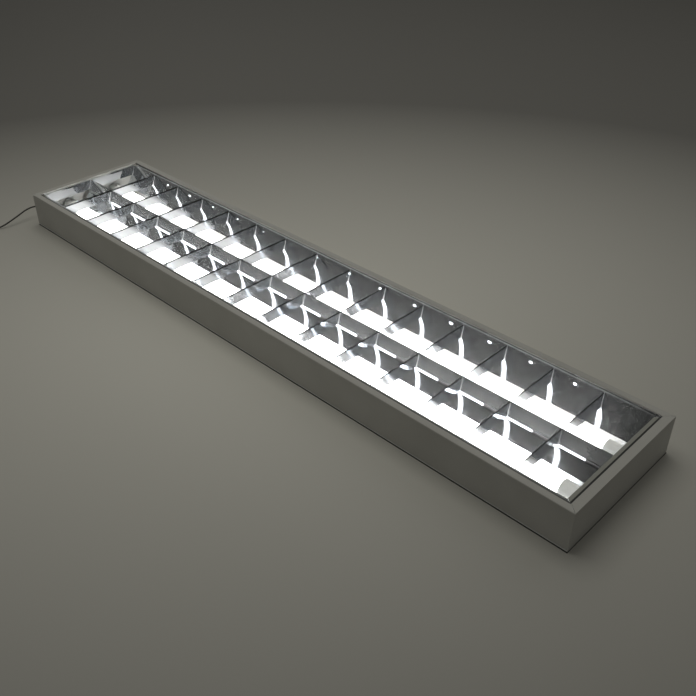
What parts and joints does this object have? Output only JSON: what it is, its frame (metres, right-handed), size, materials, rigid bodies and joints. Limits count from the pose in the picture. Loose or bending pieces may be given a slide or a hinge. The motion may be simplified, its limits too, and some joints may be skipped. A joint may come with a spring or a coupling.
{
  "type": "recessed troffer light",
  "caption": "Slim rectangular ceiling light: a shallow steel tray with lamps under a parabolic mirror louvre that hinges open, and a supply lead.",
  "frame": {"origin": "middle of the back plate's outer face, which goes against the ceiling", "axes": "+X along the light to the end without the lead, +Y across it, +Z out of the back plate, the way it shines"},
  "size_m": [1.3324, 0.381, 0.065],
  "materials": {
    "mirror_aluminium": "polished, anodised",
    "white_paint": "satin powder coat",
    "zinc_steel": "bright zinc",
    "bronze": "satin",
    "brass": "satin",
    "copper": "bright",
    "white_plastic": "moulded",
    "opal_glass": "smooth opal",
    "grey_plastic": "moulded",
    "board": "lacquered",
    "diode": "smooth",
    "clear_plastic": "moulded",
    "lead_sheath": "matte",
    "grey_rubber": "matte",
    "black_plastic": "moulded",
    "core_brown": "smooth",
    "core_blue": "smooth",
    "core_green": "smooth"
  },
  "bodies": {
    "housing": {"bracket_far": "zinc_steel", "bracket_near": "zinc_steel", "centre_cover": "mirror_aluminium", "core_tips": "copper", "cover_screws": "zinc_steel", "earth_screw": "zinc_steel", "end_wall_far": "white_paint", "end_wall_near": "white_paint", "holder_contacts": "bronze", "holder_far_back": "white_plastic", "holder_far_front": "white_plastic", "holder_near_back": "white_plastic", "holder_near_front": "white_plastic", "inner_lead": "lead_sheath", "lead_bush": "grey_rubber", "lead_coil": "lead_sheath", "lead_cores": "core_brown", "lead_tie": "black_plastic", "louvre_springs": "zinc_steel", "supply_lead": "lead_sheath", "terminal_block": "clear_plastic", "terminal_screws": "zinc_steel", "tray": "white_paint", "wire_earth": "core_green", "wires_live": "core_brown", "wires_neutral": "core_blue"},
    "louvre": {"blade_01": "mirror_aluminium", "blade_02": "mirror_aluminium", "blade_03": "mirror_aluminium", "blade_04": "mirror_aluminium", "blade_05": "mirror_aluminium", "blade_06": "mirror_aluminium", "blade_07": "mirror_aluminium", "blade_08": "mirror_aluminium", "blade_09": "mirror_aluminium", "blade_10": "mirror_aluminium", "blade_11": "mirror_aluminium", "blade_12": "mirror_aluminium", "blade_13": "mirror_aluminium", "blade_14": "mirror_aluminium", "centre_reflector": "mirror_aluminium", "louvre_end_far": "mirror_aluminium", "louvre_end_near": "mirror_aluminium", "side_reflector_back": "mirror_aluminium", "side_reflector_front": "mirror_aluminium"},
    "lamp_front": {"lamp_front_board": "board", "lamp_front_cap_far": "grey_plastic", "lamp_front_cap_near": "grey_plastic", "lamp_front_glass": "opal_glass", "lamp_front_leds": "diode", "lamp_front_pins": "brass", "lamp_front_rotors": "white_plastic"},
    "lamp_back": {"lamp_back_board": "board", "lamp_back_cap_far": "grey_plastic", "lamp_back_cap_near": "grey_plastic", "lamp_back_glass": "opal_glass", "lamp_back_leds": "diode", "lamp_back_pins": "brass", "lamp_back_rotors": "white_plastic"}
  },
  "joints": [
    {"name": "louvre_hinge", "type": "hinge", "parent": "housing", "child": "louvre", "pos_m": [-0.607, 0, 0.0622], "axis": [0, -1, 0], "range_deg": [0, 90]},
    {"name": "lamp_front_turn", "type": "hinge", "parent": "housing", "child": "lamp_front", "pos_m": [0, -0.0532, 0.0203], "axis": [1, 0, 0], "range_deg": [0, 90]},
    {"name": "lamp_back_turn", "type": "hinge", "parent": "housing", "child": "lamp_back", "pos_m": [0, 0.0532, 0.0203], "axis": [1, 0, 0], "range_deg": [0, 90]}
  ]
}
